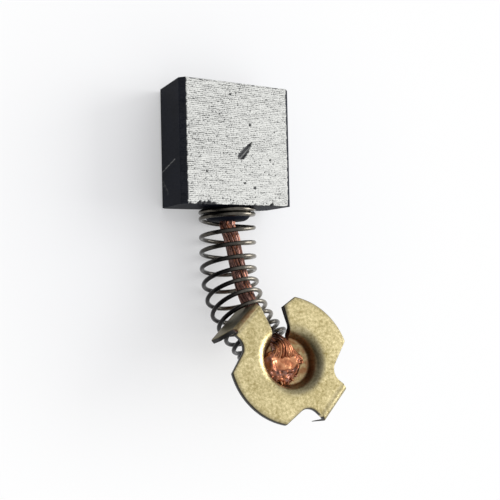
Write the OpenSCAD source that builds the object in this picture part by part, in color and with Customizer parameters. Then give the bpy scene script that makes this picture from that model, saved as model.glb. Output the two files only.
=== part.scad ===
// Carbon brush for a power tool motor: pressed carbon block, coil spring, copper shunt
// and a stamped brass terminal plate. Loose part, lying on the back face of its block.
// Millimetres. X across the block, +Y towards the working end, +Z up, floor at Z = 0.
// The origin lies on the floor, under the middle of the face that carries the spring.

/* [Carbon block] */
// Width of the block
block_w = 13.5; // [11:0.1:18]
// Thickness of the block
block_t = 6.5; // [6:0.1:9]
// Length of the block from the spring face to the working face
block_l = 13.4; // [9:0.1:22]
// Bevel along the four long edges
block_bevel = 0.6; // [0.2:0.05:1.2]
// Height of the round seat that the spring is pushed over
seat_h = 1.6; // [0.8:0.1:2.4]
// Rounding of the rim of the seat
seat_round = 0.4; // [0.1:0.05:0.6]
// Depth of the moulded-in end of the shunt, below the spring face
shunt_depth = 6; // [3:0.5:8]

/* [Wear on the block] */
// Length of the gouge in the upper face
gouge_l = 2.6; // [1:0.1:4]
// Radius of the two arcs that bound the gouge
gouge_r = 2.2; // [2:0.1:4]
// Depth of the gouge
gouge_deep = 0.3; // [0.1:0.05:0.6]
// Direction of the gouge, from the block's width
gouge_turn = 50; // [0:1:180]

/* [Spring] */
// Outer diameter of the spring
spring_od = 6.5; // [6.2:0.1:7]
// Diameter of the spring wire
wire_d = 0.5; // [0.4:0.02:0.6]
// Pitch of the turn that lifts off the closed end at the block
lift_pitch = 2.22; // [1.7:0.02:2.4]
// Pitch of the open turns
open_pitch = 1.66; // [1.4:0.02:1.9]
// Pitch of the last open turn, squeezed by the terminal
squeezed_pitch = 1.24; // [0.9:0.02:1.4]
// Straight stretch of the spring before it bends
spring_straight = 6.3; // [4:0.1:8]
// Radius of the bend of the spring's centre line
spring_bend_r = 13.1; // [12:0.1:16]
// Angle between the plane of the bend and the floor
bend_lean = 40; // [30:1:50]

/* [Terminal plate] */
// Thickness of the brass sheet
sheet_t = 0.5; // [0.4:0.05:0.6]
// Radius of the round plate
plate_r = 6.95; // [6.8:0.05:7.4]
// Distance between the outer faces of the two ears, where they leave the plate
ear_span = 13.6; // [13.2:0.1:14.2]
// Width of the hooked ear
ear_w = 4; // [3:0.1:4.4]
// Width of the free ear at its bend
free_ear_w = 4.5; // [3.6:0.1:4.8]
// How far the free ear sits to one side
free_ear_shift = 0.3; // [0:0.1:0.5]
// Length of the straight part of an ear
ear_l = 3.2; // [2:0.1:3.6]
// How far the hooked corner of an ear stands out sideways
ear_hook = 1.3; // [0.6:0.1:1.6]
// How far the other side of the hooked ear is drawn in beyond its bend
ear_draft = 0.3; // [0.1:0.05:0.5]
// How much narrower the free ear is on its torn side
free_ear_cut = 1.9; // [0.5:0.1:2.4]
// Length of the thin sliver left beside the free ear
sliver_l = 2.4; // [0.5:0.1:3]
// Thickness of that sliver at its root
sliver_d = 0.24; // [0.15:0.01:0.4]
// Inner radius of the bends of the ears
ear_bend_r = 0.1; // [0.1:0.05:0.4]
// Bend of the ear that dips between the turns of the spring
ear_angle_spring = 77; // [70:1:84]
// Bend of the other ear
ear_angle_free = 95; // [85:1:100]
// Radius of the inner corner of the four notches beside the ears
notch_r = 1.4; // [1:0.1:1.6]
// Distance from the plate's middle line to the notches beside the free ear
notch_in = 4.1; // [3.9:0.05:4.4]
// How much farther out the notches beside the hooked ear are
notch_step = 0.25; // [0:0.05:0.4]
// Lean of the outer side of a notch
notch_lean = 11; // [5:1:20]
// Radius of the cup at its rim
cup_rim_r = 3.75; // [3.4:0.05:4.2]
// Radius of the flat floor of the cup
cup_floor_r = 2.4; // [2:0.05:2.5]
// Depth of the cup
cup_deep = 1.5; // [1.2:0.1:2]
// Rounding of the rim of the cup, on its open side
rim_round = 0.65; // [0.6:0.05:0.8]
// Rounding of the corner between floor and wall of the cup
floor_round = 0.35; // [0.2:0.05:0.5]

/* [Shunt] */
// Diameter of the stranded copper rope
shunt_d = 1.9; // [1.6:0.05:2]
// Width of the welded, flattened end
weld_w = 4.3; // [3:0.1:4.6]
// Height of the welded, flattened end
weld_h = 0.9; // [0.6:0.05:1.2]

/* [Clearances] */
// Gap round the seat inside the spring, and under its first turn
seat_gap = 0.05; // [0.02:0.01:0.15]
// Gap between the turns of the closed ends of the spring
turn_gap = 0.04; // [0.02:0.01:0.1]
// Gap between the shunt and the carbon moulded round it
mould_gap = 0.02; // [0.01:0.01:0.05]
// Gap between the plate and the spring that it lies on
rest_gap = 0.1; // [0.05:0.01:0.3]
// Gap between the welded end and the floor of the cup
weld_gap = 0.03; // [0.01:0.01:0.1]
// Gap on each side of the shunt in the slot of the plate
slot_gap = 0.1; // [0.05:0.01:0.2]

/* [Hidden] */
eps = 0.01;

// The spring, as turns of a helix: turn 0 ends the closed turn on the block.
first_turn = -1;
last_turn = 10.48;
first_angle = 29;
steps_per_turn = 24;
wire_sides = 8;
closed_pitch = wire_d + turn_gap;
coil_r = (spring_od - wire_d) / 2;
seat_d = spring_od - 2 * wire_d - 2 * seat_gap;
axis_z = block_t / 2;
wire_start = wire_d / 2 + seat_gap;

function unit(v) = v / norm(v);

// Pitch at a turn: closed, lifting off the seat, open, squeezed towards the terminal, closed.
function pitch_at(turn) = lookup(turn, [
    [0.2, closed_pitch],
    [0.6, lift_pitch],
    [1, lift_pitch],
    [1.4, open_pitch],
    [5, open_pitch],
    [last_turn - 0.8, squeezed_pitch],
    [last_turn - 0.4, closed_pitch]
]);

// The turns lean over against the centre line: the ear levers them up, the plate turns them.
function rise_at(turn) = lookup(turn, [
    [0.25, 0],
    [1, 1.5],
    [3, 8.5],
    [6, 31],
    [8, 34],
    [last_turn, 26]
]);
function yaw_at(turn) = lookup(turn, [[3, 0], [6, 4.5], [8, 11], [last_turn, 20]]);
function turn_side(turn) = [cos(yaw_at(turn)), sin(yaw_at(turn)), 0];
function turn_top(turn) = [
    -sin(yaw_at(turn)) * sin(rise_at(turn)),
    cos(yaw_at(turn)) * sin(rise_at(turn)),
    cos(rise_at(turn))
];

// Centre line of the spring: straight away from the block, then an arc in a leaning plane.
function bend_at(s) = s < spring_straight ? 0 : (s - spring_straight) / spring_bend_r * 180 / PI;
function leaning(side, ahead) = [side * cos(bend_lean), -ahead, side * sin(bend_lean)];
function axis_point(s) =
    let (bend = bend_at(s))
    [0, 0, axis_z] + leaning(
        spring_bend_r * (1 - cos(bend)),
        min(s, spring_straight) + spring_bend_r * sin(bend)
    );

// Distance of each step of the helix along the centre line, summed from the pitch.
steps = round((last_turn - first_turn) * steps_per_turn);
function turn_of(i) = first_turn + i / steps_per_turn;
wire_along = [for (i = 0, s = wire_start; i <= steps;
    s = s + pitch_at(turn_of(i + 0.5)) / steps_per_turn, i = i + 1) s];
function radial_at(i) =
    let (turn = turn_of(i), a = 360 * turn + first_angle)
    cos(a) * turn_side(turn) + sin(a) * turn_top(turn);
function wire_point(i) = axis_point(wire_along[i]) + coil_r * radial_at(i);
spring_l = wire_along[steps];

// The terminal's own frame: X from ear to ear, Z out of the open side of the cup.
plate_turn = [-8.9, -17.9, -46.9];
plate_shift = [2.69, -0.97];
tilt_rise = 0.61;
function turn_x(p, a) = [p.x, p.y * cos(a) - p.z * sin(a), p.y * sin(a) + p.z * cos(a)];
function turn_y(p, a) = [p.x * cos(a) + p.z * sin(a), p.y, -p.x * sin(a) + p.z * cos(a)];
function turn_z(p, a) = [p.x * cos(a) - p.y * sin(a), p.x * sin(a) + p.y * cos(a), p.z];
function turned(p) = turn_z(turn_y(turn_x(p, plate_turn.x), plate_turn.y), plate_turn.z);
// The plate lies on the end of the spring.
plate_centre = axis_point(spring_l)
    + turned([plate_shift.x, plate_shift.y, spring_od / 2 + tilt_rise + rest_gap + sheet_t]);
function on_plate(p) = plate_centre + turned(p);

flat_half = ear_span / 2 - ear_bend_r - sheet_t;
slot_dir = 149;
slot_in = 0.7;
slot_w = shunt_d + 2 * slot_gap;
slot_flare = 0.5;
cup_steps = 6;
hook_notch_shift = 0.2;
tear_root = 0.4;
sliver_root = 0.1;

// A closed tube through rings of points.
module skin(rings) {
    sides = len(rings[0]);
    count = len(rings);
    polyhedron(
        points = [for (ring = rings) for (p = ring) p],
        faces = concat(
            [[for (j = [sides - 1:-1:0]) j]],
            [for (i = [0:count - 2]) for (j = [0:sides - 1])
                let (k = (j + 1) % sides)
                each [
                    [i * sides + j, i * sides + k, (i + 1) * sides + k],
                    [i * sides + j, (i + 1) * sides + k, (i + 1) * sides + j]
                ]],
            [[for (j = [0:sides - 1]) (count - 1) * sides + j]]
        )
    );
}

// Chips on the edge over the seat: place along the edge, size and turn.
gouge_at = [0.8, 6.03];
chip_tilt = [20, 35];
chips = [[4.05, 0.6, 40], [-3.8, 0.65, 10], [-4.85, 0.7, 40], [-5.9, 0.5, 70]];
module chip(x, size, spin) {
    translate([x, 0, block_t])
        rotate([chip_tilt.x, chip_tilt.y, spin])
            cube(size, center = true);
}

// Leaf-shaped gouge: the overlap of two discs.
module gouge() {
    reach = sqrt(gouge_r * gouge_r - gouge_l * gouge_l / 4);
    translate([gouge_at.x, gouge_at.y, block_t - gouge_deep])
        rotate(gouge_turn)
            linear_extrude(gouge_deep + eps)
                intersection() {
                    translate([0, reach]) circle(gouge_r, $fn = 48);
                    translate([0, -reach]) circle(gouge_r, $fn = 48);
                }
}

module carbon_block() {
    half = block_w / 2;
    color([0.23, 0.24, 0.26])
        difference() {
            union() {
                rotate([90, 0, 0])
                    translate([0, 0, -block_l])
                        linear_extrude(block_l)
                            polygon([
                                [block_bevel - half, 0],
                                [half - block_bevel, 0],
                                [half, block_bevel],
                                [half, block_t - block_bevel],
                                [half - block_bevel, block_t],
                                [block_bevel - half, block_t],
                                [-half, block_t - block_bevel],
                                [-half, block_bevel]
                            ]);
                translate([0, 0, axis_z])
                    rotate([90, 0, 0])
                        rotate_extrude($fn = 64)
                            seat_profile();
            }
            translate([0, shunt_depth + mould_gap, axis_z])
                rotate([90, 0, 0])
                    cylinder(h = shunt_depth + seat_h + 1, d = shunt_d + 2 * mould_gap, $fn = 48);
            gouge();
            for (c = chips)
                chip(c.x, c.y, c.z);
        }
}

// Half section of the seat: a short pin with a rounded rim.
module seat_profile() {
    r = seat_d / 2;
    polygon(concat(
        [[0, -1], [r, -1]],
        [for (a = [0:15:90])
            [r - seat_round + seat_round * cos(a), seat_h - seat_round + seat_round * sin(a)]],
        [[0, seat_h]]
    ));
}

module spring() {
    rings = [for (i = [0:steps])
        let (
            out = radial_at(i),
            ahead = unit(wire_point(min(i + 1, steps)) - wire_point(max(i - 1, 0))),
            side = unit(out - (out * ahead) * ahead),
            up = cross(side, ahead)
        )
        [for (j = [0:wire_sides - 1])
            let (a = 360 * (j + 0.5) / wire_sides)
            wire_point(i) + wire_d / 2 * (cos(a) * side + sin(a) * up)]];
    color([0.36, 0.36, 0.33]) skin(rings);
}

// Route of the shunt: out of the block inside the spring, past the ear, under the last turn,
// up through the slot and onto the floor of the cup.
shunt_room = spring_od / 2 - wire_d - shunt_d / 2 - rest_gap;
weld_z = -cup_deep + weld_gap + weld_h / 2;
function in_spring(s, turn, share, a) = axis_point(s)
    + shunt_room * share * (cos(a) * turn_side(turn) + sin(a) * turn_top(turn));
function in_slot(r, across, z) = on_plate(turn_z([r, across, z], slot_dir));
route = [
    [0, shunt_depth, axis_z],
    [0, 0, axis_z],
    [0, -seat_h, axis_z],
    [0, -seat_h - 0.6, axis_z],
    in_spring(3.5, 1.5, 0.27, 30),
    in_spring(5, 2.5, 0.45, 30),
    in_spring(7, 3.8, 0.64, 30),
    in_spring(9.2, 5, 0.76, 30),
    in_spring(11.4, 6.5, 0.84, 35),
    in_spring(13.4, 8.2, 0.88, 50),
    in_spring(15.2, 9.6, 0.74, 50),
    in_slot(2.8, 0, weld_z - 1.72),
    in_slot(1.4, 0.1, weld_z + 0.15),
    in_slot(0.4, 0.3, weld_z + 0.15),
    in_slot(-0.6, 0.4, weld_z),
    in_slot(-1.5, 0.4, weld_z),
    in_slot(-2.3, 0.4, weld_z)
];
route_steps = 6;
shunt_sides = 12;

// A smooth curve through the route's points.
function smooth_point(k, u) =
    let (
        last = len(route) - 1,
        p0 = route[max(k - 1, 0)],
        p1 = route[k],
        p2 = route[min(k + 1, last)],
        p3 = route[min(k + 2, last)]
    )
    0.5 * (2 * p1 + (p2 - p0) * u + (2 * p0 - 5 * p1 + 4 * p2 - p3) * u * u
        + (3 * p1 - p0 - 3 * p2 + p3) * u * u * u);

module shunt() {
    last = (len(route) - 1) * route_steps;
    curve = [for (i = [0:last]) smooth_point(floor(i / route_steps), (i % route_steps) / route_steps)];
    plate_up = turned([0, 0, 1]);
    // The rope spreads from the slot to the weld, and its very end is rounded off.
    flat_from = last - 4.3 * route_steps;
    flat_to = last - 2.6 * route_steps;
    color([0.52, 0.27, 0.2])
        skin([for (i = [0:last])
            let (
                ahead = unit(curve[min(i + 1, last)] - curve[max(i - 1, 0)]),
                side = unit(cross(ahead, plate_up)),
                up = cross(side, ahead),
                flat = max(0, min(1, (i - flat_from) / (flat_to - flat_from))),
                ease = flat * flat * (3 - 2 * flat),
                left = (last - i) / (2 * route_steps),
                tip = left > 1 ? 1 : sqrt(max(0.06, 1 - (1 - left) * (1 - left))),
                w = (shunt_d + ease * (weld_w - shunt_d)) * tip,
                h = shunt_d + ease * (weld_h - shunt_d)
            )
            [for (j = [0:shunt_sides - 1])
                let (a = 360 * (j + 0.5) / shunt_sides)
                curve[i] + w / 2 * cos(a) * side + h / 2 * sin(a) * up]]);
}

// The two notches beside an ear: a rounded inner corner, and an outer side that leans in.
module notches(inner, width) {
    side = [-sin(notch_lean), cos(notch_lean)];
    tangent = -notch_r * [cos(notch_lean), sin(notch_lean)];
    for (flip = [0, 1])
        mirror([0, flip])
            translate([inner + notch_r, width / 2 + notch_r]) {
                circle(notch_r, $fn = 64);
                polygon([
                    [0, -notch_r],
                    [plate_r, -notch_r],
                    [plate_r, plate_r],
                    tangent + plate_r * side,
                    tangent
                ]);
            }
}

// Round plate with four notches beside the ears and a hole for the cup.
module plate_outline() {
    difference() {
        intersection() {
            circle(plate_r, $fn = 96);
            square([2 * flat_half, 2 * plate_r], center = true);
        }
        translate([0, -free_ear_shift])
            notches(notch_in, free_ear_w);
        translate([0, -hook_notch_shift])
            rotate(180)
                notches(notch_in + notch_step, ear_w + 2 * hook_notch_shift);
        circle(cup_rim_r, $fn = 96);
    }
}

// Section of the cup: a sloping wall, tangent to the arcs of its rim and of its floor corner.
wall_reach = cup_rim_r - cup_floor_r;
wall_drop = cup_deep - rim_round - floor_round;
wall_angle = atan2(wall_drop, wall_reach)
    + asin((rim_round + floor_round) / norm([wall_reach, wall_drop]));
function rim_arc(r, a) = [cup_rim_r + r * cos(a), r * sin(a) - rim_round];
function floor_arc(r, a) = [cup_floor_r + r * cos(a), floor_round - cup_deep + r * sin(a)];
module cup() {
    turns = [for (i = [0:cup_steps]) wall_angle * i / cup_steps];
    rotate_extrude($fn = 96)
        polygon(concat(
            [[0, -cup_deep]],
            [for (t = turns) floor_arc(floor_round, t - 90)],
            [for (t = turns) rim_arc(rim_round, 90 + wall_angle - t)],
            [for (t = turns) rim_arc(rim_round - sheet_t, 90 + t)],
            [for (t = turns) floor_arc(floor_round + sheet_t, wall_angle - t - 90)],
            [[0, -cup_deep - sheet_t]]
        ));
}

// Ear, bent down from the edge of the plate. Its outline is a child, from the bend outwards.
module ear(angle, width) {
    translate([flat_half, 0, -sheet_t - ear_bend_r]) {
        rotate(a = -120, v = [1, 1, 1])
            rotate_extrude(angle = angle, $fn = 64)
                translate([ear_bend_r, -width / 2])
                    square([sheet_t, width]);
        rotate([0, angle, 0])
            translate([0, 0, ear_bend_r])
                linear_extrude(sheet_t)
                    children();
    }
}

// The ear among the turns of the spring has one corner drawn out to a hook.
module hooked_outline() {
    half = ear_w / 2;
    polygon([
        [0, -half],
        [0, half],
        [ear_l * 0.2, half + ear_hook * 0.2],
        [ear_l * 0.6, half + ear_hook * 0.8],
        [ear_l - 0.15, half + ear_hook],
        [ear_l, half + ear_hook * 0.8],
        [ear_l, ear_draft - half],
        [ear_draft, ear_draft - half]
    ]);
}

// The free ear is narrower, beside a sliver that its blanking cut left at the corner.
module free_outline() {
    half = free_ear_w / 2;
    polygon([
        [0, half],
        [ear_l, half],
        [ear_l, free_ear_cut - half],
        [tear_root, free_ear_cut - half],
        [0, sliver_d - half]
    ]);
}

// Thin sliver of brass, from the corner of the free ear's bend.
module sliver() {
    translate([flat_half, sliver_d / 2 - free_ear_w / 2, -sheet_t - ear_bend_r])
        rotate([0, ear_angle_free, 0])
            translate([-sliver_root, 0, ear_bend_r + sheet_t - sliver_d / 2])
                rotate([0, 90, 0])
                    cylinder(h = sliver_l + sliver_root, d1 = sliver_d, d2 = sliver_d / 3, $fn = 24);
}

module slot() {
    reach = plate_r + 1;
    rotate(slot_dir)
        translate([0, 0, -cup_deep - sheet_t - 1])
            linear_extrude(cup_deep + sheet_t + 2)
                union() {
                    translate([slot_in + slot_w / 2, 0]) circle(d = slot_w, $fn = 48);
                    polygon([
                        [slot_in + slot_w / 2, -slot_w / 2],
                        [cup_rim_r, -slot_w / 2],
                        [reach, -slot_w / 2 - slot_flare],
                        [reach, slot_w / 2 + slot_flare],
                        [cup_rim_r, slot_w / 2],
                        [slot_in + slot_w / 2, slot_w / 2]
                    ]);
                }
}

module terminal() {
    color([0.79, 0.71, 0.5])
        translate(plate_centre)
            rotate(plate_turn) {
                difference() {
                    union() {
                        translate([0, 0, -sheet_t])
                            linear_extrude(sheet_t)
                                plate_outline();
                        cup();
                    }
                    slot();
                }
                translate([0, -free_ear_shift]) {
                    ear(ear_angle_free, free_ear_w) free_outline();
                    sliver();
                }
                rotate(180) ear(ear_angle_spring, ear_w) hooked_outline();
            }
}

carbon_block();
spring();
shunt();
terminal();
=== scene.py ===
import bpy
import numpy as np
from mathutils import Matrix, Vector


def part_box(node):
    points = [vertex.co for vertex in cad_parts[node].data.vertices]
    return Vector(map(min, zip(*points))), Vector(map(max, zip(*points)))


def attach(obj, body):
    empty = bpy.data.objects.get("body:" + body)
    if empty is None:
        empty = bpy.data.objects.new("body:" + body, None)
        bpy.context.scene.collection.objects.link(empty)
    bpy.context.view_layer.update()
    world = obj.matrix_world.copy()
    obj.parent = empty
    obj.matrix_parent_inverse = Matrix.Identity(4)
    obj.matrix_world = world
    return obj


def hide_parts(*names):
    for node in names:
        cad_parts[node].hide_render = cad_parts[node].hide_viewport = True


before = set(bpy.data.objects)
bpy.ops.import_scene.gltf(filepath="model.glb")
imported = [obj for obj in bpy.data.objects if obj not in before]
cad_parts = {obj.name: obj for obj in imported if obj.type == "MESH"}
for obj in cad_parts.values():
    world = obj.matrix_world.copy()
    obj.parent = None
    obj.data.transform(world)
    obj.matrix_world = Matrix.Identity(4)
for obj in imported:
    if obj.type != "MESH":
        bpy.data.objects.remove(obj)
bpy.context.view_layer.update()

# ----------------------------------------
# Camera and studio. The brush lies on a white sheet, and the camera looks down on it
# from the side, so that one narrow side of the block shows as well as its upper face.
MM = 0.001  # every size below is in millimetres, every angle in degrees
CAMERA_AT = (-33.719, -6.639, 70.054)
CAMERA_RIGHT = (0.87713, -0.02214, 0.47975)
CAMERA_UP = (0.00817, 0.99948, 0.03118)
CAMERA_BACK = (-0.48019, -0.02343, 0.87685)
LENS = 47.5  # on a sensor 36 mm wide
BRIGHT_SIDE = (0.73, 0.1, 0.67)  # direction from which the room gives most light
SHEET = 2000  # half the side of the sheet of paper
SHADOW_R, CLEAR_R = 8, 40  # how far from the brush the paper begins to look white, and where it does


def linear(colour):
    """Linear RGBA of an sRGB hex colour: c / 12.92 when dark, else (c + 0.055) / 1.055 to the 2.4."""
    c = np.array([int(colour[i:i + 2], 16) for i in (1, 3, 5)]) / 255
    return (*np.where(c <= 0.04045, c / 12.92, ((c + 0.055) / 1.055) ** 2.4).tolist(), 1.0)


def add(tree, kind, inputs=None, **settings):
    """Adds a node with its settings; an input is a value, or a socket that is linked to it."""
    node = tree.nodes.new(kind)
    for name, value in settings.items():
        setattr(node, name, value)
    for name, value in (inputs or {}).items():
        if isinstance(value, bpy.types.NodeSocket):
            tree.links.new(value, node.inputs[name])
        else:
            node.inputs[name].default_value = value
    return node


def maths(tree, operation, *values):
    """Result of an operation on numbers or sockets."""
    return add(tree, "ShaderNodeMath", dict(enumerate(values)), operation=operation).outputs[0]


def in_range(tree, value, low, high, span=(0, 1)):
    """A value stretched from a span to the range from low to high, and held within it."""
    return add(tree, "ShaderNodeMapRange", {
        "Value": value, "From Min": span[0], "From Max": span[1],
        "To Min": low, "To Max": high}).outputs[0]


def placed(thing, name, right, up, back, at):
    """Puts a lamp or a camera in the scene, by its axes and its place in millimetres."""
    made = bpy.data.objects.new(name, thing)
    bpy.context.scene.collection.objects.link(made)
    columns = (*zip(right, up, back, np.array(at) * MM), (0, 0, 0, 1))
    made.matrix_world = Matrix(columns)
    return made


camera = bpy.data.cameras.new("camera")
camera.lens = LENS
camera.clip_start, camera.clip_end = 1 * MM, 3000 * MM
bpy.context.scene.camera = placed(
    camera, "camera", CAMERA_RIGHT, CAMERA_UP, CAMERA_BACK, CAMERA_AT)


def softbox(name, at, aim, size, power):
    """A square lamp at a place, turned towards the point that it is aimed at."""
    lamp = bpy.data.lights.new(name, "AREA")
    lamp.size = size * MM
    lamp.energy = power
    back = np.subtract(at, aim) / np.linalg.norm(np.subtract(at, aim))
    right = np.cross((0, 1, 0), back)
    right = right / np.linalg.norm(right)
    placed(lamp, name, right, np.cross(back, right), back, at)


softbox("window", at=(700, 100, 320), aim=(2, -5, 5), size=460, power=3.9)

# The room is bright on the side of the lamp and dim on the other. The camera sees it white.
world = bpy.data.worlds.new("room")
bpy.context.scene.world = world
world.use_nodes = True
tree = world.node_tree
tree.nodes.clear()
direction = add(tree, "ShaderNodeTexCoord").outputs["Generated"]
to_bright_side = add(tree, "ShaderNodeVectorMath", {0: direction, 1: BRIGHT_SIDE},
                     operation="DOT_PRODUCT").outputs["Value"]
level = in_range(tree, to_bright_side, 0.08, 1.0, span=(-0.35, 0.6))
to_camera = add(tree, "ShaderNodeLightPath").outputs["Is Camera Ray"]
strength = maths(tree, "MAXIMUM", level, to_camera)
sky = add(tree, "ShaderNodeBackground", {"Color": linear("#fafbff"), "Strength": strength})
add(tree, "ShaderNodeOutputWorld", {"Surface": sky.outputs[0]})


def paper():
    """White paper. What the camera and shiny things see of it is lifted towards white, the more
    so the further it lies from the brush, where no shadow falls."""
    made = bpy.data.materials.new("white_paper")
    made.use_nodes = True
    tree = made.node_tree
    tree.nodes.clear()
    ray = add(tree, "ShaderNodeLightPath").outputs
    shiny = maths(tree, "MAXIMUM", ray["Is Glossy Ray"], ray["Is Transmission Ray"])
    seen = maths(tree, "MAXIMUM", ray["Is Camera Ray"], shiny)
    away = add(tree, "ShaderNodeVectorMath", {
        0: add(tree, "ShaderNodeTexCoord").outputs["Object"]}, operation="LENGTH")
    lifted = add(tree, "ShaderNodeMapRange", {
        "Value": away.outputs["Value"], "From Min": SHADOW_R * MM, "From Max": CLEAR_R * MM,
        "To Min": 0.35, "To Max": 0.95}, interpolation_type="SMOOTHSTEP")
    share = maths(tree, "MULTIPLY", seen, lifted.outputs[0])
    matt = add(tree, "ShaderNodeBsdfDiffuse", {"Color": linear("#f9f9f9")})
    lift = add(tree, "ShaderNodeEmission", {"Color": (1, 1, 1, 1), "Strength": 1.0})
    mix = add(tree, "ShaderNodeMixShader", {
        0: share, 1: matt.outputs[0], 2: lift.outputs[0]})
    add(tree, "ShaderNodeOutputMaterial", {"Surface": mix.outputs[0]})
    return made


sheet_mesh = bpy.data.meshes.new("sheet")
corners = [(-1, -1, 0), (1, -1, 0), (1, 1, 0), (-1, 1, 0)]
sheet_mesh.from_pydata([np.multiply(c, SHEET * MM) for c in corners], [], [(0, 1, 2, 3)])
sheet_mesh.materials.append(paper())
sheet = bpy.data.objects.new("sheet", sheet_mesh)
bpy.context.scene.collection.objects.link(sheet)

bpy.context.scene.view_settings.view_transform = "Standard"

# ----------------------------------------
# Carbon block. Graphite and pitch, pressed, baked and ground flat on its two broad faces,
# which leaves them silvery; that paleness is also a painted sheen for the lamp's glare. The sides
# stay as moulded, near black, and are painted darker still as painted shade. A round seat for the
# spring is pressed in one with it. Edges of ground carbon are brittle and chip.
low, high = (np.array(corner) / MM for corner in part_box("carbon_block"))
BLOCK_W, BLOCK_L, BLOCK_T = high[0] - low[0], high[1], high[2]
SEAT_H = -low[1]
SEAT_R = 2.7
SEAT_ROUND = 1.0
SEAT_ROOT = 1.0  # how far the seat's own shell reaches into the block
SEAT_RINGS = 1.2, 0.4  # radii of the rings on its end
BEVEL = 0.6
AXIS_Z = BLOCK_T / 2
GRAIN = 0.08  # spacing of the points on the upper face and the bevels
RIGHT_GRAIN, FOOT_GRAIN, LEFT_GRAIN = 0.12, 0.2, 0.07  # on the other faces, finest at the scratches
END_RINGS = np.array([0.4, 0.7, 0.85, 0.93, 0.97, 0.99])  # rings on an end, as shares of the section
HAIR = 1e-4  # below any real size
GRIND_PITCH = 0.21  # distance between two lines of grinding
WAVE_PERIOD = 0.314  # of a wave texture at scale 1
LINES_GROW = (-0.075, 0.08, 0)  # the way in which the lines of grinding grow stronger
SILVERY_DEPTH = 0.015  # where more than this is broken out, the carbon is dark again
CUT_BRIGHT, TORN_BRIGHT = 0.12, 0.45  # how silvery broken carbon is, and the gouge's torn streaks
CHIP_SLOPE, WORN_SLOPE = 0.9, 0.8  # how steeply a chip and a worn edge go down
CHIPS = (  # place along the edge, half width and reach of the chips over the seat
    (-5.85, 0.3, 0.16), (-4.83, 0.42, 0.5), (-4.35, 0.35, 0.42), (-3.8, 0.55, 0.5),
    (-3.2, 0.5, 0.34), (-1.0, 0.5, 0.12), (1.9, 0.35, 0.16), (4.05, 0.36, 0.42))
PITS = (  # place and radius of the larger pores
    (-3.92, 3.52, 0.13), (1.89, 1.92, 0.17), (0.65, 2.42, 0.15), (1.43, 8.89, 0.17),
    (-0.97, 12.08, 0.14), (0.9, 6.1, 0.1), (3.9, 5.1, 0.13), (4.3, 4.7, 0.1))
SPOTS, SPOT_R = 190, (0.04, 0.09)  # small pores, more of them near the seat, and their radii
SPOTS_ACROSS, SPOTS_ALONG = 6, 13  # how far they spread from the middle line and from the seat
SCRATCH = (4.94, 4.51), (3.85, 0.1)  # ends of the scratch on the left side, as y and z
CURL, CURL_R, CURL_TURNS = ((2.75, 0.95), (1.5, 2.35)), 0.24, 2.6  # a faint curly scratch below it
SCRATCH_BRIGHT, CURL_BRIGHT = 0.35, 0.13
SCRATCH_W, SCRATCH_STEPS = 0.12, 90  # width of both, and points along each
LEFT_BEVEL_LIFT = 0.022  # how much lighter the upper bevel on the left side is painted
GOUGE_AT, GOUGE_TURN = (0.82, 6.02), 50
GOUGE_HALF, GOUGE_WIDE, GOUGE_DEEP = 1.3, 0.44, 0.3
SHARP_ANGLE = 40  # edges that turn by more than this are shaded sharp
CELLS = 4096  # random values of a wander, after which it repeats


def eased(share):
    """A share from 0 to 1 that starts and ends slowly: 3 s^2 - 2 s^3."""
    return share * share * (3 - 2 * share)


def wander(x, step, seed):
    """Smooth random curve between -1 and 1: random values every step, eased from one to the next."""
    values = np.random.default_rng(seed).uniform(-1, 1, CELLS)
    cell = np.floor(x / step).astype(int)
    ease = eased(x / step - cell)
    return values[cell % CELLS] * (1 - ease) + values[(cell + 1) % CELLS] * ease


def bowl(x, y, at_x, at_y, r):
    """Depth of a round hollow, as deep as its radius: r (1 - d^2 / r^2) at a distance d."""
    return r * (1 - ((x - at_x) ** 2 + (y - at_y) ** 2) / r ** 2)


def carved(x, y):
    """Depth cut from the ground face: the deepest of its chips, pores, gouge and worn edges."""
    depth = np.zeros_like(x)
    for at, half, reach in CHIPS:
        wedge = reach * (1 - np.abs(x - at - 0.1 * wander(y, 0.15, 3)) / half) - y
        depth = np.maximum(depth, CHIP_SLOPE * wedge)
    for at_x, at_y, r in PITS:
        depth = np.maximum(depth, bowl(x, y, at_x, at_y, r))
    draw = np.random.default_rng(7).uniform
    spots_x = draw(-SPOTS_ACROSS, SPOTS_ACROSS, SPOTS)
    spots_y = SPOTS_ALONG * draw(0.02, 1, SPOTS) ** 1.4
    for at_x, at_y, r in zip(spots_x, spots_y, draw(*SPOT_R, SPOTS)):
        depth = np.maximum(depth, bowl(x, y, at_x, at_y, r))
    for edge, seed, raggedness in ((y, 11, 0.1), (BLOCK_L - y, 12, 0.12)):
        ragged = raggedness * (0.35 + wander(x, 0.22, seed) * 0.6 + wander(x, 0.9, seed + 9) * 0.4)
        depth = np.maximum(depth, WORN_SLOPE * (ragged - edge))
    for edge, seed in ((half_flat - x, 13), (half_flat + x, 14)):
        ragged = 0.07 * (0.2 + wander(y, 0.3, seed))
        depth = np.maximum(depth, WORN_SLOPE * (ragged - edge))
    return np.maximum(depth, gouged(x, y)[0])


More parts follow.
